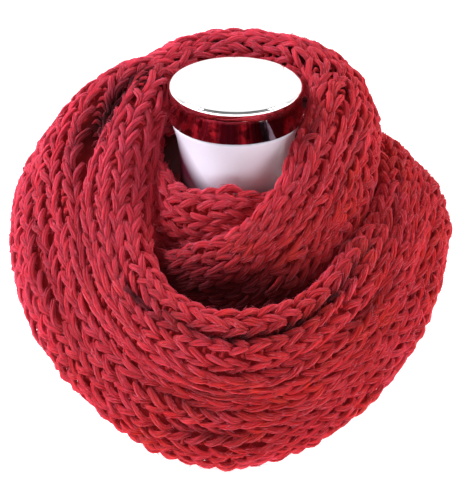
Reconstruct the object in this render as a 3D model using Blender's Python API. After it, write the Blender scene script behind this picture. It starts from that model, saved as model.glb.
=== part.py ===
"""Ribbed knit infinity scarf, wound twice round the neck of a limbless display form.

The scarf is one band of knit. Each winding lies round the neck as a slack, flattened roll of cloth whose
edges are turned in out of sight. It is modelled as five stretches, one for each length that shows.
Metres, +Z up. The origin is on the floor under the neck's axis, and the front faces -Y.
Tables are in millimetres. A turn is an angle round the neck: 0 front, 90 towards +X, 180 back.
"""
import math

import bmesh
import bpy
import numpy as np

MM = 0.001

# ---- Driving dimensions, mm ----
SEAM_GAP = 0.3              # between two solids that touch
CLOTH = 4.0                 # knit wall between the ribs
RIB_RISE = 4.0              # how far a rib stands out of the wall
BAND_RIBS = 13              # ribs across the band's full width
TUCKED_RIBS = 6             # ribs that show where the band is folded under itself
POINTS_PER_RIB = 3          # a furrow point and the two shoulders of the rib

CAP_RADIUS = 55.0
CAP_TOP = 300.0
CAP_HEIGHT = 28.0
CAP_EDGE = 3.0              # rounding of the cap's upper edge
CAP_EDGE_STEPS = 3
CAP_POINTS = 64
SMOOTH_BELOW = 45.0         # faces meeting at less than this many degrees are shaded as one curve

# ---- The form: elliptical rings ----
FORM_COLUMNS = ("height", "half_width", "half_depth")
FORM_RINGS = [
    (0, 77, 58),
    (6, 80, 61),
    (40, 84, 62),
    (70, 94, 61),
    (92, 98, 60),
    (110, 101, 58),
    (126, 95, 55),
    (142, 84, 54),
    (158, 64, 50),
    (176, 49, 47),
    (200, 46.5, 46),
    (240, 46.5, 46.5),
    (258, 49.5, 49.5),
    (CAP_TOP - CAP_HEIGHT - SEAM_GAP, 54, 54),
]
FORM_POINTS = 44            # points round each ring
FORM_STEPS = 20             # rings from floor to cap

# ---- The band's sections ----
# The band is followed from its start inside the front, twice round the neck, to its end beside the start.
# reach and height place the middle of the roll. The roll is a flattened ellipse, half_long by half_thick,
# whose long axis drops outwards at tilt degrees below level. The cloth starts lip degrees behind the roll's
# upper edge, crosses the face that shows, and ends tuck degrees behind its lower edge.
SECTION_COLUMNS = ("turn", "reach", "height", "half_long", "half_thick", "tilt", "lip", "tuck")
SECTIONS = [
    (-60, 86, 136, 40, 11, 86, 15, 25),
    (-40, 85, 142, 42, 11, 88, 15, 40),
    (-20, 85, 152, 46, 12, 90, 20, 50),
    (0, 86, 165, 49, 12, 89, 25, 55),
    (20, 88, 187, 51, 18, 79, 35, 50),
    (45, 86, 214, 51, 20, 68, 45, 50),
    (70, 85, 241, 48, 20, 60, 55, 60),
    (90, 88, 256, 43, 22, 53, 60, 65),
    (120, 97, 269, 49, 24, 50, 65, 65),
    (150, 95, 271, 45, 26, 56, 65, 65),
    (180, 91, 273, 41, 26, 62, 70, 65),
    (210, 95, 266, 45, 28, 56, 65, 50),
    (228, 102, 254, 57, 30, 50, 55, 40),
    (245, 118, 242, 79, 35, 46, 50, 40),
    (270, 126, 209, 84, 35, 46, 40, 40),
    (300, 126, 147, 77, 33, 55, 15, 40),
    (330, 133, 106, 72, 27, 77, 20, 40),
    (360, 145, 98, 73, 20, 90, 20, 40),
    (390, 141, 112, 70, 21, 83, 20, 40),
    (420, 143, 150, 56, 21, 67, 30, 50),
    (450, 149, 188, 44, 21, 53, 45, 65),
    (480, 157, 163, 73, 20, 64, 50, 60),
    (510, 138, 142, 86, 20, 71, 45, 45),
    (540, 122, 147, 80, 18, 76, 40, 40),
    (570, 103, 162, 65, 15, 77, 35, 30),
    (590, 84, 181, 58, 12, 80, 30, 20),
    (615, 71, 196, 46, 11, 82, 30, 20),
    (640, 66, 199, 38, 10, 82, 30, 15),
    (660, 65, 194, 36, 10, 82, 30, 15),
    (690, 62, 197, 35, 9, 82, 35, 15),
    (720, 62, 203, 33, 9, 82, 35, 15),
    (745, 62, 199, 30, 9, 82, 35, 15),
    (765, 62, 192, 26, 9, 80, 30, 15),
]

STRETCH_COLUMNS = ("name", "turn_from", "turn_to", "ribs", "steps")
STRETCHES = [
    ("inner_right_wrap", -60, 120, BAND_RIBS, 20),
    ("back_upper_wrap", 120, 228, BAND_RIBS, 12),
    ("outer_wrap", 228, 480, BAND_RIBS, 28),
    ("back_lower_wrap", 480, 590, BAND_RIBS, 12),
    ("inner_left_wrap", 590, 765, TUCKED_RIBS, 18),
]

# ---- Soft folds ----
# Each fold is a trough that runs from one place on a stretch to another and fades out at both ends.
# across is 0 at the lip and 1 at the tucked hem. depth is into the cloth, so less than 0 is a ridge.
FOLD_COLUMNS = ("turn_from", "turn_to", "across_from", "across_to", "half_width", "depth")
FOLDS = [
    (-30, 60, 0.42, 0.46, 0.06, 3),
    (48, 132, 0.62, 0.60, 0.06, 4),
    (140, 215, 0.50, 0.46, 0.06, 4),
    (226, 304, 0.20, 0.48, 0.06, 15),
    (242, 312, 0.10, 0.22, 0.07, -7),
    (252, 306, 0.47, 0.57, 0.045, 7),
    (330, 425, 0.30, 0.34, 0.04, 5),
    (296, 412, 0.47, 0.53, 0.085, 9),
    (312, 380, 0.63, 0.66, 0.04, 5),
    (400, 470, 0.48, 0.52, 0.06, 4),
    (490, 575, 0.40, 0.55, 0.07, 4),
    (660, 745, 0.45, 0.50, 0.09, 3),
]

# ---- Colours, linear RGB ----
KNIT_RED = (0.42, 0.018, 0.032, 1.0)
FORM_WHITE = (0.80, 0.78, 0.80, 1.0)
CHROME = (0.75, 0.75, 0.77, 1.0)


def row_at(columns, table, x):
    """A dictionary of the table's columns at x in its first column, on a smooth cubic through its rows."""
    rows = np.array(table, float)
    keys = rows[:, 0]
    slopes = np.gradient(rows[:, 1:], keys, axis=0)
    i = int(np.clip(np.searchsorted(keys, x) - 1, 0, len(keys) - 2))
    span = keys[i + 1] - keys[i]
    u = (x - keys[i]) / span
    ease = u * u * (3 - 2 * u)
    blend = rows[i, 1:] * (1 - ease) + rows[i + 1, 1:] * ease
    swing = slopes[i] * u * (1 - u) ** 2 - slopes[i + 1] * u * u * (1 - u)
    return dict(zip(columns[1:], blend + span * swing))


def even_angles(half_long, half_thick, first, last, count):
    """Angles round an ellipse from first to last, evenly spaced along its edge."""
    fine = np.linspace(first, last, 181)
    across = half_long * np.cos(fine)
    through = half_thick * np.sin(fine)
    along = np.concatenate([[0], np.cumsum(np.hypot(np.diff(across), np.diff(through)))])
    return np.interp(np.linspace(0, along[-1], count), along, fine)


def fold_depth(turn, across):
    """How far the folds let the cloth in, at a turn and at each place across the band."""
    depth = np.zeros(len(across))
    for row in FOLDS:
        fold = dict(zip(FOLD_COLUMNS, row))
        along = (turn - fold["turn_from"]) / (fold["turn_to"] - fold["turn_from"])
        if 0 < along < 1:
            centre = fold["across_from"] * (1 - along) + fold["across_to"] * along
            fade = math.sin(math.pi * along) ** 2
            depth += fold["depth"] * fade * np.exp(-(((across - centre) / fold["half_width"]) ** 2))
    return depth


def section_ring(turn, ribs):
    """The closed ring of the wall at one turn: ribbed outer points, then plain inner ones back again."""
    roll = row_at(SECTION_COLUMNS, SECTIONS, turn)
    half_long, half_thick = roll["half_long"], roll["half_thick"]
    first = -math.radians(roll["lip"])
    last = math.pi + math.radians(roll["tuck"])
    outer = even_angles(half_long, half_thick, first, last, ribs * POINTS_PER_RIB + 1)
    inner = outer[::POINTS_PER_RIB][::-1]
    in_furrow = np.arange(len(outer)) % POINTS_PER_RIB == 0
    fold = fold_depth(turn, np.linspace(0, 1, len(outer)))
    outer_sink = fold + np.where(in_furrow, RIB_RISE, 0)
    inner_sink = fold[::POINTS_PER_RIB][::-1] + RIB_RISE + CLOTH
    sink = np.concatenate([outer_sink, inner_sink])
    angles = np.concatenate([outer, inner])
    tilt = math.radians(roll["tilt"])
    bearing = math.radians(turn)
    up_axis = np.array([-math.cos(tilt), math.sin(tilt)])
    out_axis = np.array([math.sin(tilt), math.cos(tilt)])
    across = ((half_long - sink) * np.cos(angles))[:, None] * up_axis
    through = ((half_thick - sink) * np.sin(angles))[:, None] * out_axis
    radius, level = (np.array([roll["reach"], roll["height"]]) + across + through).T
    return np.column_stack([radius * math.sin(bearing), -radius * math.cos(bearing), level]) * MM


def material(name, colour, roughness, metallic):
    made = bpy.data.materials.new(name)
    made.use_nodes = True
    shader = made.node_tree.nodes["Principled BSDF"]
    shader.inputs["Base Color"].default_value = colour
    shader.inputs["Roughness"].default_value = roughness
    shader.inputs["Metallic"].default_value = metallic
    made.diffuse_color = colour
    return made


def add_object(name, mesh, look, collection):
    mesh.materials.append(look)
    made = bpy.data.objects.new(name, mesh)
    collection.objects.link(made)
    return made


def lofted(name, rings):
    """A closed solid through rings of equally many points, with a flat face at each end."""
    shape = bmesh.new()
    rows = [[shape.verts.new(point) for point in ring] for ring in rings]
    for near, far in zip(rows, rows[1:]):
        for i in range(len(near)):
            after = (i + 1) % len(near)
            shape.faces.new((near[i], near[after], far[after], far[i]))
    shape.faces.new(rows[0][::-1])
    shape.faces.new(rows[-1])
    bmesh.ops.recalc_face_normals(shape, faces=shape.faces)
    mesh = bpy.data.meshes.new(name)
    shape.to_mesh(mesh)
    shape.free()
    mesh.shade_smooth()
    mesh.set_sharp_from_angle(angle=math.radians(SMOOTH_BELOW))
    return mesh


def seam_trim(turn):
    """Half the seam's gap at a turn, in degrees round the neck."""
    roll = row_at(SECTION_COLUMNS, SECTIONS, turn)
    return math.degrees(SEAM_GAP / 2 / (roll["reach"] - roll["half_long"] / 2))


def stretch_mesh(stretch):
    """One length of the band, kept clear of its neighbour at each end."""
    start = stretch["turn_from"] + seam_trim(stretch["turn_from"])
    stop = stretch["turn_to"] - seam_trim(stretch["turn_to"])
    turns = np.linspace(start, stop, stretch["steps"] + 1)
    return lofted(stretch["name"], [section_ring(turn, stretch["ribs"]) for turn in turns])


def form_mesh():
    """The neck, shoulders and foot of the form, as stacked ellipses."""
    around = np.linspace(0, 2 * math.pi, FORM_POINTS, endpoint=False)
    rings = []
    for height in np.linspace(FORM_RINGS[0][0], FORM_RINGS[-1][0], FORM_STEPS + 1):
        size = row_at(FORM_COLUMNS, FORM_RINGS, height)
        across = size["half_width"] * np.cos(around)
        along = size["half_depth"] * np.sin(around)
        rings.append(np.column_stack([across, along, np.full(FORM_POINTS, height)]) * MM)
    return lofted("form_body", rings)


def cap_mesh():
    """The metal cap: a disc turned with a rounded upper edge."""
    shape = bmesh.new()
    bmesh.ops.create_cone(
        shape,
        cap_ends=True,
        segments=CAP_POINTS,
        radius1=CAP_RADIUS * MM,
        radius2=CAP_RADIUS * MM,
        depth=CAP_HEIGHT * MM,
    )
    top_edges = [edge for edge in shape.edges if all(vert.co.z > 0 for vert in edge.verts)]
    bmesh.ops.bevel(
        shape,
        geom=top_edges,
        offset=CAP_EDGE * MM,
        segments=CAP_EDGE_STEPS,
        profile=0.5,
        affect="EDGES",
    )
    bmesh.ops.translate(shape, verts=shape.verts, vec=(0, 0, (CAP_TOP - CAP_HEIGHT / 2) * MM))
    mesh = bpy.data.meshes.new("neck_cap")
    shape.to_mesh(mesh)
    shape.free()
    mesh.shade_smooth()
    mesh.set_sharp_from_angle(angle=math.radians(SMOOTH_BELOW))
    return mesh


def main():
    for leftover in list(bpy.data.objects):
        bpy.data.objects.remove(leftover)
    scarf = bpy.data.collections.new("infinity_scarf_on_form")
    bpy.context.scene.collection.children.link(scarf)
    knit = material("red_knit", KNIT_RED, 0.9, 0.0)
    shell = material("white_form", FORM_WHITE, 0.45, 0.0)
    metal = material("chrome_cap", CHROME, 0.06, 1.0)
    add_object("form_body", form_mesh(), shell, scarf)
    add_object("neck_cap", cap_mesh(), metal, scarf)
    for row in STRETCHES:
        stretch = dict(zip(STRETCH_COLUMNS, row))
        add_object(stretch["name"], stretch_mesh(stretch), knit, scarf)


main()
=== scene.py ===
import math

import bmesh
import bpy
import numpy as np
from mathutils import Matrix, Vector


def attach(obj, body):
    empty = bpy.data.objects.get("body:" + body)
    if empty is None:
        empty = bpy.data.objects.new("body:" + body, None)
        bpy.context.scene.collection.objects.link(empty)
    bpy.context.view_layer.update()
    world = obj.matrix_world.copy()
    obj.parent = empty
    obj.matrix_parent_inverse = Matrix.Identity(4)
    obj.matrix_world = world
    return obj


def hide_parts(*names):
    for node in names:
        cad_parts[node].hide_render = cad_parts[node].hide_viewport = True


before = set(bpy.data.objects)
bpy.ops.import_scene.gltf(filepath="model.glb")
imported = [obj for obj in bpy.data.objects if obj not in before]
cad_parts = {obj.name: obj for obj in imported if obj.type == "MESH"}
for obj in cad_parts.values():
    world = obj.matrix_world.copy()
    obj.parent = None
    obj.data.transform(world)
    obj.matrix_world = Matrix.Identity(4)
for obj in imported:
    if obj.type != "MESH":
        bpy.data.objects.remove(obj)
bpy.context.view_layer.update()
mm = 0.001
print("frame loaded")


# The band of knit. Turns are degrees round the neck: 0 front, 90 towards +X, 180 back.
# across runs from 0 at the lip of the roll to 1 at its tucked hem. Lengths are in millimetres.
band = {
    "columns": ("turn", "reach", "height", "halfLong", "halfThick", "tilt", "lip", "tuck"),
    "sections": [
        (-60, 86, 136, 40, 11, 86, 15, 25),
        (-40, 85, 142, 42, 11, 88, 15, 40),
        (-20, 85, 152, 46, 12, 90, 20, 50),
        (0, 86, 165, 49, 12, 89, 25, 55),
        (20, 88, 187, 51, 18, 79, 35, 50),
        (45, 86, 214, 51, 20, 68, 45, 50),
        (70, 85, 241, 48, 20, 60, 55, 60),
        (90, 88, 256, 43, 22, 53, 60, 65),
        (120, 97, 269, 49, 24, 50, 65, 65),
        (150, 95, 271, 45, 26, 56, 65, 65),
        (180, 91, 273, 41, 26, 62, 70, 65),
        (210, 95, 266, 45, 28, 56, 65, 50),
        (228, 102, 254, 57, 30, 50, 55, 40),
        (245, 118, 242, 79, 35, 46, 50, 40),
        (270, 126, 209, 84, 35, 46, 40, 40),
        (300, 126, 147, 77, 33, 55, 15, 40),
        (330, 133, 106, 72, 27, 77, 20, 40),
        (360, 145, 98, 73, 20, 90, 20, 40),
        (390, 141, 112, 70, 21, 83, 20, 40),
        (420, 143, 150, 56, 21, 67, 30, 50),
        (450, 149, 188, 44, 21, 53, 45, 65),
        (480, 157, 163, 73, 20, 64, 50, 60),
        (510, 138, 142, 86, 20, 71, 45, 45),
        (540, 122, 147, 80, 18, 76, 40, 40),
        (570, 103, 162, 65, 15, 77, 35, 30),
        (590, 84, 181, 58, 12, 80, 30, 20),
        (615, 71, 196, 46, 11, 82, 30, 20),
        (640, 66, 199, 38, 10, 82, 30, 15),
        (660, 65, 194, 36, 10, 82, 30, 15),
        (690, 62, 197, 35, 9, 82, 35, 15),
        (720, 62, 203, 33, 9, 82, 35, 15),
        (745, 62, 199, 30, 9, 82, 35, 15),
        (765, 62, 192, 26, 9, 80, 30, 15),
    ],
    "foldColumns": ("turnFrom", "turnTo", "acrossFrom", "acrossTo", "halfWidth", "depth"),
    "folds": [
        (-30, 60, 0.42, 0.46, 0.06, 3),
        (48, 132, 0.62, 0.60, 0.06, 4),
        (140, 215, 0.50, 0.46, 0.06, 4),
        (226, 304, 0.20, 0.48, 0.06, 15),
        (242, 312, 0.10, 0.22, 0.07, -7),
        (252, 306, 0.47, 0.57, 0.045, 7),
        (330, 425, 0.30, 0.34, 0.04, 5),
        (296, 412, 0.47, 0.53, 0.085, 9),
        (312, 380, 0.63, 0.66, 0.04, 5),
        (400, 470, 0.48, 0.52, 0.06, 4),
        (490, 575, 0.40, 0.55, 0.07, 4),
        (660, 745, 0.45, 0.50, 0.09, 3),
    ],
    "creaseColumns": ("turnFrom", "turnTo", "acrossFrom", "acrossTo", "halfWidth", "depth", "shade"),
    "creases": [                # narrower troughs that only the knit has, and the painted shade in them; rows of no depth are painted shade alone
        (224, 292, 0.21, 0.35, 0.060, 7, 0.30),
        (227, 285, 0.180, 0.485, 0.05, 0, 0.85),
        (270, 316, 0.38, 0.40, 0.022, 2, 0.45),
        (250, 330, 0.62, 0.60, 0.03, 3, 0.35),
        (288, 356, 0.231, 0.180, 0.016, 4, 0.75),
        (306, 446, 0.156, 0.152, 0.018, 6, 1.10),
        (392, 424, 0.02, 0.02, 0.06, -3.5, 0.40),
        (398, 480, 0.00, 0.02, 0.06, 0, 0.75),
        (426, 492, 0.00, 0.03, 0.05, 0, 0.60),
        (30, 118, 0.92, 0.92, 0.07, 0, 0.80),
        (480, 550, 0.03, 0.03, 0.09, -14, 0.70),
        (540, 605, 0.02, 0.02, 0.09, -11, 0.70),
        (318, 376, 0.46, 0.42, 0.02, 4, 0.45),
        (322, 370, 0.53, 0.54, 0.02, 3, 0.45),
        (335, 372, 0.65, 0.65, 0.03, 3, 0.45),
        (344, 376, 0.31, 0.30, 0.015, 3, 0.45),
        (390, 424, 0.33, 0.34, 0.02, 3, 0.45),
        (405, 470, 0.24, 0.20, 0.02, 3, 0.40),
        (20, 100, 0.28, 0.30, 0.02, 3, 0.45),
        (30, 110, 0.52, 0.50, 0.02, 3, 0.40),
        (500, 570, 0.30, 0.34, 0.02, 3, 0.40),
    ],
    "shadeGain": 1.25,          # strengthens the painted shades above
    "shadeMost": 0.97,          # and the darkest that they get
    "ribs": 13,
    "tuckedRibs": 6,
    "hem": 0.12,                # how far the backing reaches past the lip and the hem, in widths
    "hemCurl": 0.5,             # how tightly it curls there
    "spread": 0.04,             # how much wider than the ribs the stitches lie
    "slide": [                  # turn, and how much of the knit's width is tucked out of sight there
        (-60, 0.30),
        (55, 0.30),
        (140, 0.0),
        (765, 0.0),
    ],
    "ribLine": -3.0,            # where a column's length is measured, mm out of the ribs' crowns
    "turnStep": 0.75,
    "acrossSteps": 90,
    "angleSteps": 180,
    "sway": 0.22,               # how far the ribs wander sideways, in ribs
    "swell": 1.8,               # how far the cloth rises and sinks, mm
    "wanderTurns": 22,          # degrees between the wander's turning points
    "wanderAcross": 7,          # turning points across the band
    "wanderSeed": 5,
    "flatColumns": ("turn", "across", "halfTurn", "halfAcross", "amount"),
    "flats": [                  # where the cloth is pulled along and its stitches lie flatter
        (305, 0.38, 26, 0.10, 0.85),
        (352, 0.42, 34, 0.08, 0.90),
        (375, 0.55, 22, 0.10, 0.55),
        (440, 0.40, 24, 0.12, 0.45),
        (60, 0.45, 30, 0.12, 0.35),
        (180, 0.40, 30, 0.12, 0.45),
        (545, 0.45, 28, 0.12, 0.70),
    ],
}

# The lengths of the band that show. A stretch's stitches run the way that its knitting does.
stretches = [
    {
        "node": "inner_right_wrap", "turns": (-60, 120), "ribs": band["ribs"], "parts": 1, "way": -1,
        "restsOn": ["form_body", "inner_left_wrap"],
    },
    {
        "node": "back_upper_wrap", "turns": (120, 228), "ribs": band["ribs"], "parts": 1, "way": 1,
        "restsOn": ["inner_right_wrap", "back_lower_wrap"],
    },
    {
        "node": "outer_wrap", "turns": (228, 480), "ribs": band["ribs"], "parts": 2, "way": 1,
        "restsOn": ["back_upper_wrap", "inner_right_wrap", "form_body"],
    },
    {
        "node": "back_lower_wrap", "turns": (480, 590), "ribs": band["ribs"], "parts": 1, "way": 1,
        "restsOn": ["form_body"],
    },
    {
        "node": "inner_left_wrap", "turns": (590, 765), "ribs": band["tuckedRibs"], "parts": 1, "way": 1,
        "restsOn": ["form_body"],
    },
]


def between(value, start, stop):
    # 0 up to start, 1 from stop on, and even in between.
    return np.clip((value - start) / (stop - start), 0, 1)


def hermiteRows(keys, rows, x):
    slopes = np.gradient(rows, keys, axis=0)
    i = np.clip(np.searchsorted(keys, x) - 1, 0, len(keys) - 2)
    span = (keys[i + 1] - keys[i])[:, None]
    u = (x[:, None] - keys[i][:, None]) / span
    ease = u * u * (3 - 2 * u)
    swing = slopes[i] * u * (1 - u) ** 2 - slopes[i + 1] * u * u * (1 - u)
    return rows[i] * (1 - ease) + rows[i + 1] * ease + span * swing


def smoothRows(table, count):
    # A smooth line of count points through a short table whose first column isn't a key.
    rows = np.array(table, float)
    keys = np.linspace(0, 1, len(rows))
    return hermiteRows(keys, rows, np.linspace(0, 1, count))


def surveyBand():
    # The roll's sizes at every turn step, and the angles round it that divide its width evenly.
    table = np.array(band["sections"], float)
    turns = np.arange(table[0, 0], table[-1, 0] + band["turnStep"], band["turnStep"])
    turns = np.minimum(turns, table[-1, 0])
    values = hermiteRows(table[:, 0], table[:, 1:], turns)
    roll = dict(zip(band["columns"][1:], values.T))
    share = np.linspace(0, 1, band["angleSteps"] + 1)
    first = -np.radians(roll["lip"])[:, None]
    last = math.pi + np.radians(roll["tuck"])[:, None]
    fine = first + (last - first) * share
    stepLong = np.diff(roll["halfLong"][:, None] * np.cos(fine), axis=1)
    stepThick = np.diff(roll["halfThick"][:, None] * np.sin(fine), axis=1)
    along = np.cumsum(np.hypot(stepLong, stepThick), axis=1)
    along = np.hstack([np.zeros((len(turns), 1)), along])
    even = np.linspace(-band["hem"], 1 + band["hem"], band["acrossSteps"] + 1)
    angles = np.array([np.interp(even * a[-1], a, f) for a, f in zip(along, fine)])
    beyond = np.minimum(even, 0) + np.maximum(even - 1, 0)
    angles = angles + beyond * (along[:, -1:] / roll["halfThick"][:, None]) * band["hemCurl"]
    return {"turns": turns, "roll": roll, "angles": angles, "width": along[:, -1]}


survey = surveyBand()


def troughs(rows, columns, value, turn, across):
    # The sum over the rows of a named value, each in a soft strip that fades out at its ends.
    total = np.zeros(np.broadcast(turn, across).shape)
    for row in rows:
        fold = dict(zip(columns, row))
        along = (turn - fold["turnFrom"]) / (fold["turnTo"] - fold["turnFrom"])
        inside = (along > 0) & (along < 1)
        centre = fold["acrossFrom"] * (1 - along) + fold["acrossTo"] * along
        fade = np.where(inside, np.sin(math.pi * np.clip(along, 0, 1)) ** 2, 0)
        total = total + fold[value] * fade * np.exp(-(((across - centre) / fold["halfWidth"]) ** 2))
    return total


def foldDepth(turn, across):
    depth = troughs(band["folds"], band["foldColumns"], "depth", turn, across)
    return depth + troughs(band["creases"], band["creaseColumns"], "depth", turn, across)


def foldShade(turn, across):
    # The painted shade that lies in the creases, from 0 to 1.
    shade = troughs(band["creases"], band["creaseColumns"], "shade", turn, across)
    return np.clip(shade * band["shadeGain"], 0, band["shadeMost"])


def onBand(turn, across, height):
    # Points in metres at arrays of turns and places across, height mm out of the ribs' crowns.
    place = np.clip((turn - survey["turns"][0]) / band["turnStep"], 0, len(survey["turns"]) - 1.001)
    i = place.astype(int)
    u = place - i
    reached = np.clip(across, -band["hem"], 1 + band["hem"]) + band["hem"]
    column = reached / (1 + 2 * band["hem"]) * band["acrossSteps"]
    j = np.minimum(column.astype(int), band["acrossSteps"] - 1)
    v = column - j
    grid = survey["angles"]
    angle = (grid[i, j] * (1 - v) + grid[i, j + 1] * v) * (1 - u)
    angle = angle + (grid[i + 1, j] * (1 - v) + grid[i + 1, j + 1] * v) * u
    roll = {name: value[i] * (1 - u) + value[i + 1] * u for name, value in survey["roll"].items()}
    rise = height - foldDepth(turn, across)
    tilt = np.radians(roll["tilt"])
    bearing = np.radians(turn)
    along = (roll["halfLong"] + rise) * np.cos(angle)
    through = (roll["halfThick"] + rise) * np.sin(angle)
    radius = roll["reach"] - along * np.cos(tilt) + through * np.sin(tilt)
    level = roll["height"] + along * np.sin(tilt) + through * np.cos(tilt)
    return np.stack([radius * np.sin(bearing), -radius * np.cos(bearing), level], axis=-1) * mm


def unit(vectors):
    return vectors / np.maximum(np.linalg.norm(vectors, axis=-1, keepdims=True), 1e-9)


def bandNormal(turn, across):
    alongBand = onBand(turn + 1, across, 0) - onBand(turn - 1, across, 0)
    acrossBand = onBand(turn, across + 0.01, 0) - onBand(turn, across - 0.01, 0)
    return unit(np.cross(acrossBand, alongBand))


def makeWander(seed):
    # Two smooth uneven fields over the band, for its ribs' sideways wander and its swell.
    knots = int((survey["turns"][-1] - survey["turns"][0]) / band["wanderTurns"]) + 2
    return np.random.default_rng(seed).normal(0, 1, (2, knots, band["wanderAcross"]))


ribWander, swellWander = makeWander(band["wanderSeed"])


def wanderAt(field, turn, across):
    place = np.clip((turn - survey["turns"][0]) / band["wanderTurns"], 0, len(field) - 1.001)
    column = np.clip(across, 0, 1) * (band["wanderAcross"] - 1) * 0.999
    i, j = place.astype(int), column.astype(int)
    u, v = place - i, column - j
    u, v = u * u * (3 - 2 * u), v * v * (3 - 2 * v)
    low = field[i, j] * (1 - v) + field[i, j + 1] * v
    high = field[i + 1, j] * (1 - v) + field[i + 1, j + 1] * v
    return low * (1 - u) + high * u


def swellAt(turn, across):
    return band["swell"] * wanderAt(swellWander, turn, across)


def flatness(turn, across):
    total = np.zeros(np.broadcast(turn, across).shape)
    for row in band["flats"]:
        flat = dict(zip(band["flatColumns"], row))
        alongBand = (turn - flat["turn"]) / flat["halfTurn"]
        acrossBand = (across - flat["across"]) / flat["halfAcross"]
        total = np.maximum(total, flat["amount"] * np.exp(-(alongBand**2 + acrossBand**2)))
    return total


def slideAt(turn):
    turns, shares = np.array(band["slide"], float).T
    return 1 + np.interp(turn, turns, shares)


# Where shade is painted on the cloth that lies in shadow in the bowl. Each pair is in metres, from light to
# dark.
well = {
    "down": (0.205, 0.160),     # above the floor
    "ahead": (0.01, 0.05),      # in front of the neck's axis
    "inward": (0.124, 0.112),   # out from it
    "depth": 0.9,
}
# Where shadow is painted on the backing behind the neck. Each pair is in metres, from light to dark.
nape = {
    "inward": (0.118, 0.108),
    "behind": (0.0, 0.02),
    "depth": 0.9,
}


def wellShade(node, points):
    # The painted shade on the inner wraps, darkest deep in the bowl in front of the neck, from 0 to 1.
    if not node.startswith("inner"):
        return np.zeros(len(points))
    radius = np.hypot(points[..., 0], points[..., 1])
    down = between(points[..., 2], *well["down"])
    ahead = between(-points[..., 1], *well["ahead"])
    return well["depth"] * down * down * (3 - 2 * down) * ahead * between(radius, *well["inward"])


def napeShade(points):
    # Painted shadow on the backing that shows in the narrow gap behind the neck.
    radius = np.hypot(points[..., 0], points[..., 1])
    return nape["depth"] * between(radius, *nape["inward"]) * between(points[..., 1], *nape["behind"])


def tubeTemplate(name, strands, sides):
    # Straight tapered tubes side by side. Each vertex knows its tube, its ring and its angle round the tube.
    bm = bmesh.new()
    plyLayer = bm.verts.layers.float.new("ply")
    ringLayer = bm.verts.layers.float.new("ring")
    roundLayer = bm.verts.layers.float.new("round")
    uvLayer = bm.loops.layers.uv.new("UVMap")
    for number, rings in enumerate(strands):
        made = bmesh.ops.create_grid(
            bm, x_segments=sides, y_segments=rings - 1, size=0.5, calc_uvs=True
        )
        for vert in made["verts"]:
            turned, along = vert.co.x + 0.5, vert.co.y + 0.5
            for face in vert.link_faces:
                for loop in face.loops:
                    if loop.vert == vert:
                        loop[uvLayer].uv = (turned, along + number)
            vert[plyLayer] = number
            vert[ringLayer] = round(along * (rings - 1)) * (max(strands) - 1) / (rings - 1)
            vert[roundLayer] = turned % 1 if turned < 0.999 else 0
            radius = 0.4 * math.sin(math.pi * along)
            angle = 2 * math.pi * turned
            vert.co = (number + radius * math.cos(angle), along * 4, radius * math.sin(angle))
    bmesh.ops.remove_doubles(bm, verts=bm.verts, dist=1e-4)
    bmesh.ops.recalc_face_normals(bm, faces=bm.faces)
    mesh = bpy.data.meshes.new(name)
    bm.to_mesh(mesh)
    bm.free()
    mesh.shade_smooth()
    return mesh


def arrayed(mesh, count):
    # The mesh repeated count times in one mesh, in order.
    carrier = bpy.data.objects.new("carrier", mesh)
    bpy.context.scene.collection.objects.link(carrier)
    repeat = carrier.modifiers.new("repeat", "ARRAY")
    repeat.use_relative_offset = False
    repeat.use_constant_offset = True
    repeat.constant_offset_displace = (0, 5, 0)
    repeat.count = count
    shown = carrier.evaluated_get(bpy.context.evaluated_depsgraph_get())
    made = bpy.data.meshes.new_from_object(shown)
    bpy.data.objects.remove(carrier)
    return made


def readFloats(mesh, name):
    values = np.zeros(len(mesh.vertices), np.float32)
    mesh.attributes[name].data.foreach_get("value", values)
    return values


def writeFloats(mesh, name, values):
    layer = mesh.attributes.new(name, "FLOAT", "POINT")
    layer.data.foreach_set("value", np.asarray(values, np.float32))


def readTubes(mesh, template):
    # For each vertex: its copy of the template, its tube, its ring and its angle round the tube.
    copy = np.arange(len(mesh.vertices)) // len(template.vertices)
    ply, ring = (np.rint(readFloats(mesh, name)).astype(int) for name in ("ply", "ring"))
    return copy, ply, ring, readFloats(mesh, "round") * 2 * math.pi


def placedPiece(name, mesh, template, points, material):
    # The arrayed mesh with its vertices where they belong, as a piece of the scarf.
    mesh.vertices.foreach_set("co", points.astype(np.float32).ravel())
    mesh.update()
    for layer in ("ply", "ring", "round"):
        mesh.attributes.remove(mesh.attributes[layer])
    bpy.data.meshes.remove(template)
    bm = bmesh.new()
    bm.from_mesh(mesh)
    bmesh.ops.recalc_face_normals(bm, faces=bm.faces)
    bm.to_mesh(mesh)
    bm.free()
    return ridingPiece(name, mesh, material)


def ridingPiece(name, mesh, material):
    mesh.materials.clear()
    mesh.materials.append(material)
    piece = bpy.data.objects.new(name, mesh)
    bpy.context.scene.collection.objects.link(piece)
    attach(piece, "root")
    return piece


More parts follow.
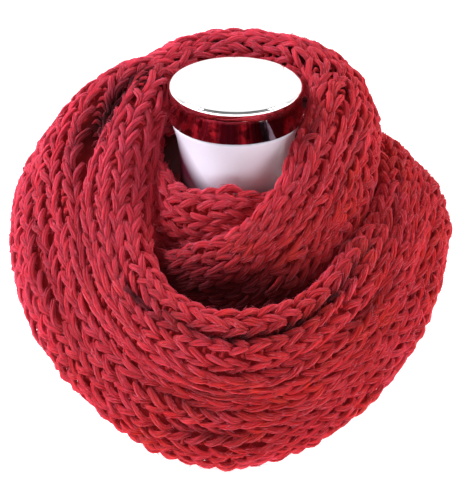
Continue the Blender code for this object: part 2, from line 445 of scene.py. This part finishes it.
stitch = {
    "pitch": 15.5,              # along the band
    "leg": [                    # along in stitches, across in ribs, height in mm out of the ribs' crowns
        (-0.34, 0.17, -8.5),
        (-0.16, 0.09, -5.2),
        (0.04, 0.08, -3.3),
        (0.28, 0.15, -2.3),
        (0.54, 0.25, -2.3),
        (0.80, 0.34, -3.3),
        (1.02, 0.37, -5.0),
        (1.16, 0.32, -8.0),
    ],
    "bridge": [                 # the strand behind, between two ribs
        (0.10, 0.20, -7.6),
        (0.24, 0.34, -6.6),
        (0.32, 0.50, -6.0),
        (0.24, 0.66, -6.6),
        (0.10, 0.80, -7.6),
    ],
    "bridges": (0.0, 0.42),     # where a stitch's two bridges start, in stitches
    "pivot": (0.4, 0.20),       # the point, along and across, about which a leg is stretched and pulled flat
    "flatLonger": 0.30,         # what lying flat does to a stitch
    "flatNarrower": 0.85,
    "flatLower": 0.25,
    "plies": 4,
    "plyRadius": 1.62,
    "plySpread": 1.15,
    "plyOval": (1.15, 0.8),     # the yarn's width and height to its mean
    "plyTwist": 0.30,           # turns along a leg
    "plyTaper": 0.3,            # lower is blunter
    "bridgeRadius": 1.9,
    "sides": 4,
    "rings": 8,
    "bridgeRings": 5,
    "ownTone": 0.55,            # how much of a ply's tone is its stitch's
    "seed": 11,
}

# How far hand knitting strays from stitch to stitch.
strays = {
    "sway": 0.045,
    "lift": 0.6,
    "stretch": 0.08,
    "skew": 0.09,
    "legSpread": 0.14,
    "legAlong": 0.05,
    "legHeight": 0.35,
    "plyLoose": (0.7, 1.35),
    "plyFat": 0.11,
    "bridgeAlong": 0.04,
    "bridgeHeight": 0.5,
}


def columnLines(ribs):
    # For each column of stitches, the length in mm from the band's start at each surveyed turn.
    lines = []
    for column in range(ribs):
        across = 0.5 + ((column + 0.5) / ribs - 0.5) * slideAt(survey["turns"])
        points = onBand(survey["turns"], across, band["ribLine"]) / mm
        steps = np.linalg.norm(np.diff(points, axis=0), axis=1)
        lines.append(np.concatenate([[0], np.cumsum(steps)]))
    return lines


def stitchPlaces(stretch, lines):
    # One row for each stitch: its column, its number along the column, the column's true pitch and its turn.
    rows = []
    for column, line in enumerate(lines):
        count = round(line[-1] / stitch["pitch"])
        pitch = line[-1] / count
        numbers = np.arange(count) + 0.5 * (column % 2)
        turns = np.interp((numbers + 0.5) * pitch, line, survey["turns"])
        away = abs((column + 0.5) / stretch["ribs"] - 0.5) * slideAt(turns)
        inside = (turns >= stretch["turns"][0]) & (turns < stretch["turns"][1]) & (away < 0.5)
        rows += [(column, number, pitch, turn) for number, turn in zip(numbers[inside], turns[inside])]
    return np.array(rows)


def layLine(stretch, places, lines, along, across, height):
    # A line of every stitch laid on the band: its points, the cloth's normals and the painted shade of the
    # creases there.
    column, number, pitch = places[:, 0], places[:, 1], places[:, 2]
    lengths = (number[:, None] + 0.5 + stretch["way"] * (0.5 - along)) * pitch[:, None]
    turn = np.zeros(lengths.shape)
    for index, line in enumerate(lines):
        rows = column == index
        turn[rows] = np.interp(lengths[rows], line, survey["turns"])
    middle = (column[:, None] + 0.5) / stretch["ribs"]
    swayed = column[:, None] + 0.5 + across + band["sway"] * wanderAt(ribWander, turn, middle)
    place = 0.5 + (swayed / stretch["ribs"] - 0.5) * (1 + band["spread"]) * slideAt(turn)
    points = onBand(turn, place, height + swellAt(turn, place))
    return points, bandNormal(turn, place), foldShade(turn, middle + across / stretch["ribs"])


def legPlies(side, stretch, places, lines, own, random):
    # One leg of every stitch. own holds what both legs of a stitch share.
    count = len(places)
    leg = smoothRows(stitch["leg"], stitch["rings"])
    pivotAlong, pivotAcross = stitch["pivot"]
    uneven = 1 + random.normal(0, strays["legSpread"], (count, 1))
    away = leg[None, :, 0] - pivotAlong
    along = pivotAlong + away * own["longer"] + random.normal(0, strays["legAlong"], (count, 1))
    narrower = 1 - stitch["flatNarrower"] * own["flat"]
    spread = pivotAcross + (leg[None, :, 1] - pivotAcross) * narrower
    across = side * spread * uneven + own["sway"] + own["skew"] * away
    height = leg[None, :, 2] * (1 - stitch["flatLower"] * own["flat"]) + own["lift"]
    height = height + random.normal(0, strays["legHeight"], (count, 1))
    centre, normal, dark = layLine(stretch, places, lines, along, across, height)
    tangent = unit(np.gradient(centre, axis=1))
    beside = unit(np.cross(tangent, normal))
    upward = np.cross(beside, tangent)
    spin = np.linspace(0, 1, stitch["rings"])[None, :] * stitch["plyTwist"] * 2 * math.pi * side
    start = random.uniform(0, 2 * math.pi, (count, 1))
    wide, high = stitch["plyOval"]
    plies = []
    for ply in range(stitch["plies"]):
        turned = (start + spin + 2 * math.pi * ply / stitch["plies"])[..., None]
        loose = stitch["plySpread"] * random.uniform(*strays["plyLoose"], (count, 1, 1)) * mm
        shift = loose * (beside * np.cos(turned) * wide + upward * np.sin(turned) * high)
        plies.append({
            "centre": centre + shift, "beside": beside, "upward": upward,
            "radius": stitch["plyRadius"], "depth": leg[:, 2], "dark": dark,
        })
    return plies


def bridgePlies(stretch, places, lines, own, random):
    count = len(places)
    bridge = smoothRows(stitch["bridge"], stitch["rings"])
    along = bridge[None, :, 0] + random.normal(0, strays["bridgeAlong"], (count, 1))
    across = bridge[None, :, 1] + own["sway"]
    height = bridge[None, :, 2] + random.normal(0, strays["bridgeHeight"], (count, 1))
    plies = []
    for start in stitch["bridges"]:
        centre, normal, dark = layLine(stretch, places, lines, along + start, across, height)
        tangent = unit(np.gradient(centre, axis=1))
        beside = unit(np.cross(tangent, normal))
        plies.append({
            "centre": centre, "beside": beside, "upward": np.cross(beside, tangent),
            "radius": stitch["bridgeRadius"], "depth": bridge[:, 2], "dark": dark,
        })
    return plies


def laidPlies(stretch, places, lines, random):
    # Every strand of the stitches: its points and frames as stitches x rings, and its own sizes.
    count = len(places)
    flat = flatness(places[:, 3], (places[:, 0] + 0.5) / stretch["ribs"])[:, None]
    own = {"flat": flat}
    own["sway"] = random.normal(0, strays["sway"], (count, 1))
    own["lift"] = random.normal(0, strays["lift"], (count, 1))
    own["longer"] = 1 + random.normal(0, strays["stretch"], (count, 1)) + stitch["flatLonger"] * flat
    own["skew"] = random.normal(0, strays["skew"], (count, 1))
    left = legPlies(-1, stretch, places, lines, own, random)
    right = legPlies(1, stretch, places, lines, own, random)
    return left + right + bridgePlies(stretch, places, lines, own, random)


def knitPiece(name, stretch, places, lines, random, material):
    # The stitches as one piece, and the points on their outsides that fibres can leave from.
    strands = [stitch["rings"]] * (2 * stitch["plies"]) + [stitch["bridgeRings"]] * len(stitch["bridges"])
    template = tubeTemplate(name + "_one", strands, stitch["sides"])
    mesh = arrayed(template, len(places))
    copy, ply, ring, turned = readTubes(mesh, template)
    laid = laidPlies(stretch, places, lines, random)
    centres, besides, upwards, shades = (
        np.stack([strand[key] for strand in laid], axis=1)
        for key in ("centre", "beside", "upward", "dark")
    )
    depth = np.stack([strand["depth"] for strand in laid])[ply, ring]
    fat = 1 + random.normal(0, strays["plyFat"], (len(places), len(laid)))
    taper = np.clip(np.sin(math.pi * ring / (stitch["rings"] - 1)), 0, 1) ** stitch["plyTaper"]
    radius = np.array([strand["radius"] for strand in laid])[ply] * fat[copy, ply] * taper * mm
    pick = (copy, ply, ring)
    outward = besides[pick] * np.cos(turned)[:, None] + upwards[pick] * np.sin(turned)[:, None]
    points = centres[pick] + outward * radius[:, None]
    tone = stitch["ownTone"] * random.uniform(0, 1, (len(places), 1))
    tone = tone + (1 - stitch["ownTone"]) * random.uniform(0, 1, (len(places), len(laid)))
    # Painted shade: the darker of the bowl's and the creases' shade, handed to the material as an attribute.
    dark = np.maximum(wellShade(stretch["node"], points), shades[pick])
    writeFloats(mesh, "shade", tone[copy, ply])
    writeFloats(mesh, "depth", depth)
    writeFloats(mesh, "well", dark)
    outside = (depth > fuzz["from"][0]) & (np.sin(turned) > fuzz["from"][1])
    tangent = unit(np.gradient(centres, axis=2))[pick]
    knit = {"points": points, "tangents": tangent, "outwards": outward, "dark": dark}
    knit = {key: values[outside] for key, values in knit.items()}
    return placedPiece(name, mesh, template, points, material), knit


fuzz = {
    "perStitch": 46,
    "length": (3.5, 8.0),
    "radius": (0.14, 0.26),
    "from": (-4.5, -0.2),       # the lowest places on the yarn, in mm and in its own height, that have fibres
    "lift": 0.16,               # how steeply a fibre leaves the yarn
    "swing": 0.5,               # how far it turns aside
    "curl": 0.4,                # and curls aside
    "droop": (0.1, 0.4),
    "rings": 3,
    "sides": 3,
}


def fuzzPiece(name, knit, stitches, random, material):
    # Loose fibres that leave the plies, each a thin tapered tube.
    count = stitches * fuzz["perStitch"]
    template = tubeTemplate(name + "_one", [fuzz["rings"]], fuzz["sides"])
    mesh = arrayed(template, count)
    copy, _, ring, turned = readTubes(mesh, template)
    pick = random.choice(len(knit["points"]), count)
    start, tangent, outward = (knit[key][pick] for key in ("points", "tangents", "outwards"))
    sideways = unit(np.cross(tangent, outward))
    swing = random.uniform(-1, 1, (count, 3))
    heading = tangent * np.sign(swing[:, :1]) + sideways * swing[:, 1:2] * fuzz["swing"]
    heading = unit(heading + outward * fuzz["lift"])
    curl = sideways * swing[:, 2:] * fuzz["curl"] - outward * random.uniform(*fuzz["droop"], (count, 1))
    length = random.uniform(*fuzz["length"], (count, 1)) * mm
    along = np.linspace(0, 1, fuzz["rings"])[None, :, None]
    centre = start[:, None] + length[:, None] * (heading[:, None] * along + curl[:, None] * along**2)
    taper = np.sin(math.pi * ring / (fuzz["rings"] - 1))
    radius = random.uniform(*fuzz["radius"], count)[copy] * taper * mm
    ahead = unit(np.gradient(centre, axis=1))[copy, ring]
    beside = unit(np.cross(ahead, outward[copy]))
    above = np.cross(beside, ahead)
    spoke = beside * np.cos(turned)[:, None] + above * np.sin(turned)[:, None]
    # The fibres take the painted shade of the yarn that they leave.
    writeFloats(mesh, "well", knit["dark"][pick][copy])
    return placedPiece(name, mesh, template, centre[copy, ring] + spoke * radius[:, None], material)


backing = {
    "height": -8.5,             # mm out of the ribs' crowns
    "edge": (0.46, 0.51),       # from the middle of the width, where the backing rises to its edges
    "edgeRise": 5.0,
    "acrossSteps": 48,
    "turnStep": 2,
}


def backingPiece(stretch, material):
    # The cloth behind the ribs, as a thin sheet on the band's own form.
    node = stretch["node"]
    low, high = stretch["turns"]
    bm = bmesh.new()
    paintedShadeLayer = bm.verts.layers.float.new("well")
    steps = int((high - low) / backing["turnStep"])
    made = bmesh.ops.create_grid(bm, x_segments=backing["acrossSteps"], y_segments=steps, size=0.5)
    for vert in made["verts"]:
        turn = np.array([low + (vert.co.y + 0.5) * (high - low)])
        across = np.array([0.5 + vert.co.x * (1 + 2 * band["hem"])])
        edge = between(abs(across - 0.5), *backing["edge"])
        height = backing["height"] + swellAt(turn, across) + backing["edgeRise"] * edge
        point = onBand(turn, across, height)
        # Painted shade on the backing: the darkest of the bowl's, the nape's and the creases' shade.
        vert[paintedShadeLayer] = max(wellShade(node, point)[0], napeShade(point)[0], foldShade(turn, across)[0])
        vert.co = Vector(point[0])
    bmesh.ops.recalc_face_normals(bm, faces=bm.faces)
    return meshPiece(node + "_backing", bm, material, node)


def meshPiece(name, bm, material, node):
    # The finished bmesh as a piece that takes the place of a node.
    mesh = bpy.data.meshes.new(name)
    bm.to_mesh(mesh)
    bm.free()
    mesh.shade_smooth()
    piece = ridingPiece(name, mesh, material)
    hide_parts(node)
    return piece


# The form's body as ellipses stacked from the floor, and its cap, in millimetres.
form = {
    "rings": [                  # height, half width, half depth
        (0, 77, 58),
        (6, 80, 61),
        (40, 84, 62),
        (70, 94, 61),
        (92, 98, 60),
        (110, 101, 58),
        (126, 95, 55),
        (142, 84, 54),
        (158, 64, 50),
        (176, 49, 47),
        (200, 46.5, 46),
        (240, 46.5, 46.5),
        (258, 49.5, 49.5),
        (271.7, 54, 54),
    ],
    "around": 128,
    "steps": 72,
    "inset": 0.4,               # a narrow border on the flat ends, which keeps their edges crisp
    "capRadius": 55,
    "capTop": 300,
    "capHeight": 28,
    "capEdge": 3,
    "capEdgeSteps": 6,
}


def formShell(material):
    # The form's moulded body: a tube of stacked ellipses, closed at both ends.
    table = np.array(form["rings"], float)
    bm = bmesh.new()
    made = bmesh.ops.create_grid(bm, x_segments=form["around"], y_segments=form["steps"], size=0.5)
    for vert in made["verts"]:
        angle = 2 * math.pi * (vert.co.x + 0.5)
        level = table[0, 0] + (vert.co.y + 0.5) * (table[-1, 0] - table[0, 0])
        wide, deep = hermiteRows(table[:, 0], table[:, 1:], np.array([level]))[0]
        vert.co = Vector((wide * math.cos(angle), deep * math.sin(angle), level)) * mm
    bmesh.ops.remove_doubles(bm, verts=bm.verts, dist=1e-5)
    ends = bmesh.ops.holes_fill(bm, edges=bm.edges, sides=0)
    for end in ends["faces"]:
        bmesh.ops.inset_region(bm, faces=[end], thickness=form["inset"] * mm)
    bmesh.ops.recalc_face_normals(bm, faces=bm.faces)
    return meshPiece("form_body_shell", bm, material, "form_body")


def capShell(material):
    # The metal cap: a disc with a rounded upper edge.
    bm = bmesh.new()
    radius, height = form["capRadius"] * mm, form["capHeight"] * mm
    bmesh.ops.create_cone(
        bm, cap_ends=True, segments=form["around"], radius1=radius, radius2=radius, depth=height
    )
    upper = [edge for edge in bm.edges if all(vert.co.z > 0 for vert in edge.verts)]
    bmesh.ops.bevel(
        bm, geom=upper, offset=form["capEdge"] * mm, segments=form["capEdgeSteps"],
        profile=0.5, affect="EDGES", material=-1,
    )
    for face in [face for face in bm.faces if len(face.verts) > 4]:
        bmesh.ops.inset_region(bm, faces=[face], thickness=form["inset"] * mm)
    bmesh.ops.translate(bm, verts=bm.verts, vec=(0, 0, form["capTop"] * mm - height / 2))
    bmesh.ops.recalc_face_normals(bm, faces=bm.faces)
    return meshPiece("neck_cap_shell", bm, material, "neck_cap")


class Wire:
    # A socket that can be used in sums. Expressions on wires add Math nodes to the same tree.
    def __init__(self, socket):
        self.socket = socket

    def node(self, kind, settings, inputs, output=0):
        return addNode(self.socket.id_data, kind, settings, inputs, output)

    def maths(self, operation, first, second):
        return self.node("ShaderNodeMath", {"operation": operation}, {0: first, 1: second})

    def __add__(self, other):
        return self.maths("ADD", self, other)

    def __sub__(self, other):
        return self.maths("SUBTRACT", self, other)

    def __rsub__(self, other):
        return self.maths("SUBTRACT", other, self)

    def __mul__(self, other):
        return self.maths("MULTIPLY", self, other)

    __radd__ = __add__
    __rmul__ = __mul__


def addNode(tree, kind, settings, inputs, output=0):
    # Settings are set first, then the values or links of the sockets.
    node = tree.nodes.new(kind)
    for name, value in settings.items():
        if name == "stops":
            ramp = node.color_ramp
            while len(ramp.elements) < len(value):
                ramp.elements.new(0.5)
            for element, (position, colour) in zip(ramp.elements, value):
                element.position = position
                element.color = colour
        else:
            setattr(node, name, value)
    for name, value in inputs.items():
        if isinstance(value, Wire):
            tree.links.new(value.socket, node.inputs[name])
        else:
            node.inputs[name].default_value = value
    return Wire(node.outputs[output])


def objectPlace(tree):
    return addNode(tree, "ShaderNodeTexCoord", {}, {}, 3)


def attribute(tree, name):
    return addNode(tree, "ShaderNodeAttribute", {"attribute_name": name}, {}, 2)


def axis(place, index):
    return place.node("ShaderNodeSeparateXYZ", {}, {0: place}, index)


def noise(place, scale, detail, roughness=0.5):
    return place.node("ShaderNodeTexNoise", {}, {0: place, 2: scale, 3: detail, 4: roughness})


def bumped(height, strength, distance):
    return height.node("ShaderNodeBump", {}, {0: strength, 1: distance, "Height": height})


def mixed(factor, first, second):
    # Two colours in the share that factor, a wire, says.
    settings = {"data_type": "RGBA", "clamp_factor": True}
    return factor.node("ShaderNodeMix", settings, {0: factor, 6: first, 7: second}, 2)


def greys(*stops):
    # A ramp's stops from pairs of place and brightness.
    return [(place, (value, value, value, 1)) for place, value in stops]


def ramped(factor, stops):
    return factor.node("ShaderNodeValToRGB", {"stops": stops}, {0: factor})


def slanted(place, edge, stops):
    # A ramp over the place. edge says how much it rises along X and along Z, and its start.
    sideways, upwards, start = edge
    return ramped(axis(place, 0) * sideways + axis(place, 2) * upwards + start, stops)


def finish(name, sockets):
    # A material whose Principled shader has these values and links.
    made = bpy.data.materials.new(name)
    made.use_nodes = True
    shader = made.node_tree.nodes["Principled BSDF"]
    for socket, value in sockets(made.node_tree).items():
        if isinstance(value, Wire):
            made.node_tree.links.new(value.socket, shader.inputs[socket])
        else:
            shader.inputs[socket].default_value = value
    return made


yarnLook = {
    "patches": 26.0,                                        # noise scales, to the metre
    "spots": 70.0,
    "warm": (0.51, 0.026, 0.018, 1),
    "pink": (0.54, 0.034, 0.054, 1),
    "pinkFrom": greys((0.36, 0), (0.64, 1)),                # in large patches
    "crimson": (0.43, 0.018, 0.023, 1),
    "crimsonFrom": greys((0.38, 0), (0.60, 1)),             # in small ones
    "paintedLightRosy": (0.56, 0.042, 0.080, 1),
    "paintedLightEdge": (-3, 3, 0),                                 # painted light, rosier and lighter towards the upper left
    "paintedLightFrom": greys((0.45, 0), (1.05, 0.62)),
    "deep": (0.28, 0.012, 0.016, 1),
    "deepPlies": greys((0.0, 0.7), (0.5, 0), (1, 0)),       # whole plies
    "deepHairs": greys((0.30, 0.55), (0.48, 0)),            # and thin lines along them
    "fibre": (0.74, 0.12, 0.15, 1),
    "fibreHairs": greys((0.56, 0), (0.74, 0.55)),
    "furrow": (0.36, 0.017, 0.021, 1),
    "furrowFrom": (-0.14, -0.42),                           # painted shade, growing with each mm down, from 3 mm down
    # painted shade: the colour of the darkest creases, bowl and gap behind the neck
    "well": (0.022, 0.004, 0.005, 1),
    "hairs": (9, 2.2, 1),                                   # round the yarn and along it
    "hairShift": 40,                                        # between one ply and the next
    "sheen": 0.12,
    "sheenTint": (1.0, 0.45, 0.52, 1),
    "glow": 0.11,                                           # painted light: a faint glow in the yarn's own colour, for light that the fibres scatter
    "softness": 0.65,
    "softColours": (1.0, 0.12, 0.16),
    "softDepth": 0.008,
}


def yarnSockets(tree):
    uv = addNode(tree, "ShaderNodeUVMap", {"uv_map": "UVMap"}, {})
    place = objectPlace(tree)
    shade, depth, paintedShadeShare = (attribute(tree, name) for name in ("shade", "depth", "well"))
    strands = uv.node("ShaderNodeMapping", {}, {0: uv, 3: yarnLook["hairs"]})
    offset = uv.node("ShaderNodeCombineXYZ", {}, {2: shade * yarnLook["hairShift"]})
    strands = uv.node("ShaderNodeVectorMath", {"operation": "ADD"}, {0: strands, 1: offset})
    hairs = noise(strands, 1.0, 3.0, 0.6)
    patches = ramped(noise(place, yarnLook["patches"], 3.0), yarnLook["pinkFrom"])
    spots = ramped(noise(place, yarnLook["spots"], 2.0), yarnLook["crimsonFrom"])
    # painted light: the upper left lit rosier and brighter
    paintedLightUpperLeft = slanted(place, yarnLook["paintedLightEdge"], yarnLook["paintedLightFrom"])
    toned = mixed(patches, yarnLook["warm"], yarnLook["pink"])
    toned = mixed(spots, toned, yarnLook["crimson"])
    toned = mixed(paintedLightUpperLeft, toned, yarnLook["paintedLightRosy"])
    toned = mixed(ramped(shade, yarnLook["deepPlies"]), toned, yarnLook["deep"])
    toned = mixed(ramped(hairs, yarnLook["deepHairs"]), toned, yarnLook["deep"])
    toned = mixed(ramped(hairs, yarnLook["fibreHairs"]), toned, yarnLook["fibre"])
    # painted shade that deepens the lower the yarn lies
    growth, start = yarnLook["furrowFrom"]
    toned = mixed(depth * growth + start, toned, yarnLook["furrow"])
    # painted shade from the attribute
    toned = mixed(paintedShadeShare, toned, yarnLook["well"])
    return {
        "Base Color": toned,
        "Roughness": 0.95,
        "Specular IOR Level": 0.10,
        "Subsurface Weight": yarnLook["softness"],
        "Subsurface Radius": yarnLook["softColours"],
        "Subsurface Scale": yarnLook["softDepth"],
        "Sheen Weight": yarnLook["sheen"],
        "Sheen Roughness": 0.45,
        "Sheen Tint": yarnLook["sheenTint"],
        # painted light: the knit glows faintly in its own colour
        "Emission Color": toned,
        "Emission Strength": yarnLook["glow"],
        "Normal": bumped(hairs, 0.5, 0.0012),
    }


fuzzLook = {
    "spots": 120.0,
    "red": (0.50, 0.035, 0.06, 1),
    "pale": (0.72, 0.12, 0.17, 1),
    "paleFrom": greys((0.4, 0), (0.6, 1)),
}


def fuzzSockets(tree):
    spots = ramped(noise(objectPlace(tree), fuzzLook["spots"], 2.0), fuzzLook["paleFrom"])
    tone = mixed(spots, fuzzLook["red"], fuzzLook["pale"])
    # painted shade from the yarn
    tone = mixed(attribute(tree, "well"), tone, yarnLook["well"])
    return {"Base Color": tone, "Roughness": 0.9, "Specular IOR Level": 0.1}


backingLook = {
    "spots": 160.0,
    "dark": (0.30, 0.013, 0.016, 1),
    "light": (0.40, 0.018, 0.022, 1),
}


def backingSockets(tree):
    spots = noise(objectPlace(tree), backingLook["spots"], 3.0)
    tone = mixed(spots, backingLook["dark"], backingLook["light"])
    # painted shade
    tone = mixed(attribute(tree, "well"), tone, yarnLook["well"])
    return {
        "Base Color": tone,
        "Roughness": 0.95,
        "Specular IOR Level": 0.1,
        # painted light: the backing glows faintly in its own colour, as the yarn does
        "Emission Color": tone,
        "Emission Strength": yarnLook["glow"],
        "Normal": bumped(spots, 0.6, 0.001),
    }


# The neck's sides get painted shade where they lie in the scarf's shadow, reddened by the scarf, and the
# shoulders under the scarf get painted shade too. Heights are in quarter metres.
shellLook = {
    "low": (0.77, 0.73, 0.84, 1),
    "high": (0.83, 0.80, 0.89, 1),
    "maroonShade": (0.10, 0.010, 0.028, 1),
    "maroonShadeEdge": (10, 6.5, -0.69),
    "maroonShadeFrom": greys((0.42, 0), (0.58, 1)),
    "plumShade": (0.36, 0.26, 0.36, 1),
    "plumShadeEdge": (-10, 3.6, 0.25),
    "plumShadeFrom": greys((0.50, 0), (0.80, 1)),
    "neck": greys((0.70, 0), (0.80, 1)),
    "shoulderShade": (0.06, 0.008, 0.012, 1),
    "shoulders": greys((0.46, 0), (0.50, 1), (0.86, 1), (0.92, 0)),
    "gloss": 0.3,
    "mottle": 30.0,
    "grain": 900.0,
}


def shellSockets(tree):
    place = objectPlace(tree)
    level = axis(place, 2)
    grain = noise(place, shellLook["grain"], 2.0)
    plain = mixed(noise(place, shellLook["mottle"], 2.0), shellLook["low"], shellLook["high"])
    # painted shade of the scarf on the neck: maroon on its left side, plum on its right
    leftShade = slanted(place, shellLook["maroonShadeEdge"], shellLook["maroonShadeFrom"])
    rightShade = slanted(place, shellLook["plumShadeEdge"], shellLook["plumShadeFrom"])
    tone = mixed(leftShade, shellLook["maroonShade"], plain)
    tone = mixed(rightShade, shellLook["plumShade"], tone)
    tone = mixed(ramped(level * 4, shellLook["neck"]), plain, tone)
    # painted shade on the shoulders and lower neck under the scarf, which are also matte there
    shoulderShade = ramped(level * 4, shellLook["shoulders"])
    return {
        "Base Color": mixed(shoulderShade, tone, shellLook["shoulderShade"]),
        "Roughness": 0.28 + grain * 0.08 + shoulderShade * 0.7,
        "Coat Weight": shellLook["gloss"] - shoulderShade * shellLook["gloss"],
        "Normal": bumped(grain, 0.05, 0.0002),
    }


capLook = {
    "lean": 0.40,               # how far the polished side's reflection leans down
    "ripple": 22.0,             # noise scales, to the metre
    "furrowScale": 130.0,
    "scuffs": 300.0,
    "rippleHeight": 0.002,
    "top": (1.0, 1.0, 1.0, 1),
    "topFrom": greys((0.291, 0), (0.2945, 1)),
    "side": (0.74, 0.26, 0.32, 1),          # painted reflection: the side's colour stands for the knit round it
    "furrows": (0.20, 0.05, 0.08, 1),
    "furrowsFrom": greys((0.42, 0), (0.56, 1)),
    "reflectedDusk": (0.07, 0.024, 0.05, 1),         # painted reflection of the dark hollows in front of it
    "reflectedDuskAcross": greys((0.36, 0), (0.44, 1), (0.54, 1), (0.61, 0.1), (0.67, 1), (0.91, 1), (0.95, 0)),
}


def capSockets(tree):
    place = objectPlace(tree)
    side, level = axis(place, 0), axis(place, 2)
    ripple = noise(place, capLook["ripple"], 2.0)
    furrows = ramped(noise(place, capLook["furrowScale"], 2.0), capLook["furrowsFrom"])
    # painted reflection on the polished side: the knit, its furrows and the dark hollows across the front
    reflectedHollows = ramped(side * 10 + 0.5 + ripple * 0.1, capLook["reflectedDuskAcross"])
    mirrored = mixed(furrows, capLook["side"], capLook["furrows"])
    mirrored = mixed(reflectedHollows, mirrored, capLook["reflectedDusk"])
    return {
        "Base Color": mixed(ramped(level, capLook["topFrom"]), mirrored, capLook["top"]),
        "Metallic": 1.0,
        "Roughness": 0.03 + noise(place, capLook["scuffs"], 3.0) * 0.05,
        "Normal": bumped(level * capLook["lean"] + ripple * capLook["rippleHeight"], 1.0, 1.0),
    }


floorLook = {
    "size": 6,
    "low": (0.92, 0.92, 0.92, 1),
    "high": (0.95, 0.95, 0.95, 1),
    "glow": 0.84,                               # keeps the floor white
    "glowFrom": greys((0.085, 0), (0.10, 1)),   # metres from under the form
}


def floorSockets(tree):
    place = objectPlace(tree)
    reach = place.node("ShaderNodeVectorMath", {"operation": "LENGTH"}, {0: place}, 1)
    return {
        "Base Color": mixed(noise(place, 3.0, 2.0), floorLook["low"], floorLook["high"]),
        "Roughness": 0.9,
        "Specular IOR Level": 0.1,
        "Emission Color": ramped(reach, floorLook["glowFrom"]),
        "Emission Strength": floorLook["glow"],
    }


def triangles(piece):
    return sum(len(face.vertices) - 2 for face in piece.data.polygons)


def flatSize(stretch, lines):
    # The mean width across the roll and the mean length of its columns, in metres.
    low, high = stretch["turns"]
    inside = (survey["turns"] >= low) & (survey["turns"] <= high)
    length = np.mean([np.ptp(line[inside]) for line in lines])
    return (survey["width"][inside].mean() * mm, length * mm)


def layStretch(stretch, random, stitchRed, fibreRed, backRed):
    # A stretch's backing with its stitches and fibres, each as its own piece.
    node = stretch["node"]
    lines = columnLines(stretch["ribs"])
    places = stitchPlaces(stretch, lines)
    sheet = backingPiece(stretch, backRed)
    knitting = []
    cuts = np.linspace(*stretch["turns"], stretch["parts"] + 1)
    for part, (start, stop) in enumerate(zip(cuts, cuts[1:]), 1):
        rows = places[(places[:, 3] >= start) & (places[:, 3] < stop)]
        stitches, knit = knitPiece(f"{node}_stitches_{part}", stretch, rows, lines, random, stitchRed)
        fibres = fuzzPiece(f"{node}_fuzz_{part}", knit, len(rows), random, fibreRed)
        knitting += [stitches, fibres]
        print(stitches.name, len(rows), "stitches", triangles(stitches), "+", triangles(fibres), "triangles")
    flat = flatSize(stretch, lines)
    print(node, "flat", [round(side, 3) for side in flat])


random = np.random.default_rng(stitch["seed"])
reds = (finish("knitRed", yarnSockets), finish("fuzzRed", fuzzSockets), finish("backRed", backingSockets))
for stretch in stretches:
    layStretch(stretch, random, *reds)

formShell(finish("whiteShell", shellSockets))
capShell(finish("polishedCap", capSockets))
print("form and cap made")


def makeFloor():
    bm = bmesh.new()
    bmesh.ops.create_grid(bm, x_segments=1, y_segments=1, size=floorLook["size"] / 2)
    mesh = bpy.data.meshes.new("floor")
    bm.to_mesh(mesh)
    bm.free()
    mesh.materials.append(finish("paleFloor", floorSockets))
    floor = bpy.data.objects.new("floor", mesh)
    bpy.context.scene.collection.objects.link(floor)
    return floor


floor = makeFloor()

camera = {
    "distance": 2.0,
    "elevation": 29.0,
    "target": (-0.0075, -0.055, 0.1795),
    "frameWidth": 0.369,        # metres across the view at the target
    "sensor": 36,
}


def makeCamera():
    data = bpy.data.cameras.new("frontCamera")
    data.sensor_fit = "HORIZONTAL"
    data.sensor_width = camera["sensor"]
    data.lens = camera["sensor"] * camera["distance"] / camera["frameWidth"]
    data.clip_start = 0.1
    data.clip_end = 20
    rise = math.radians(camera["elevation"])
    back = Vector((0, -math.cos(rise), math.sin(rise)))
    seen = bpy.data.objects.new("frontCamera", data)
    seen.location = Vector(camera["target"]) + back * camera["distance"]
    seen.rotation_euler = back.to_track_quat("Z", "Y").to_euler()
    bpy.context.scene.collection.objects.link(seen)
    bpy.context.scene.camera = seen


makeCamera()
bpy.context.scene.view_settings.view_transform = "Standard"

studio = {
    "strength": 1.0,
    "sky": greys((0.0, 1), (0.80, 1), (0.86, 0.15), (0.97, 0.10), (1.0, 0.6)),  # from the horizon up
    "room": greys((0.30, 0.24), (0.70, 0.88), (0.92, 1.06)),                    # from front to back
}


def lightWorld():
    # White all round with a dark strip overhead, which draws the polished cap's edge.
    world = bpy.data.worlds.new("studio")
    bpy.context.scene.world = world
    world.use_nodes = True
    tree = world.node_tree
    place = addNode(tree, "ShaderNodeTexCoord", {}, {}, 0)
    sky = ramped(axis(place, 2), studio["sky"])
    room = ramped(axis(place, 1) * 0.5 + 0.5, studio["room"])
    settings = {"data_type": "RGBA", "blend_type": "MULTIPLY"}
    light = sky.node("ShaderNodeMix", settings, {0: 1.0, 6: sky, 7: room}, 2)
    background = tree.nodes["Background"]
    tree.links.new(light.socket, background.inputs["Color"])
    background.inputs["Strength"].default_value = studio["strength"]


lamps = {
    "columns": ("name", "place", "power", "colour"),
    "rows": [
        ("keyLight", (-1.8, -0.1, 1.75), 66, (1, 1, 1.12)),
        ("fillLight", (1.8, -0.2, 1.6), 30, (1, 1, 1)),
    ],
    "size": 0.9,
    "aim": (0, 0, 0.18),
}


def areaLight(lamp):
    data = bpy.data.lights.new(lamp["name"], "AREA")
    data.shape = "SQUARE"
    data.size = lamps["size"]
    data.energy = lamp["power"]
    data.color = lamp["colour"]
    made = bpy.data.objects.new(lamp["name"], data)
    made.location = lamp["place"]
    heading = Vector(lamp["place"]) - Vector(lamps["aim"])
    made.rotation_euler = heading.to_track_quat("Z", "Y").to_euler()
    bpy.context.scene.collection.objects.link(made)


lightWorld()
for row in lamps["rows"]:
    areaLight(dict(zip(lamps["columns"], row)))
print("camera and lights set")
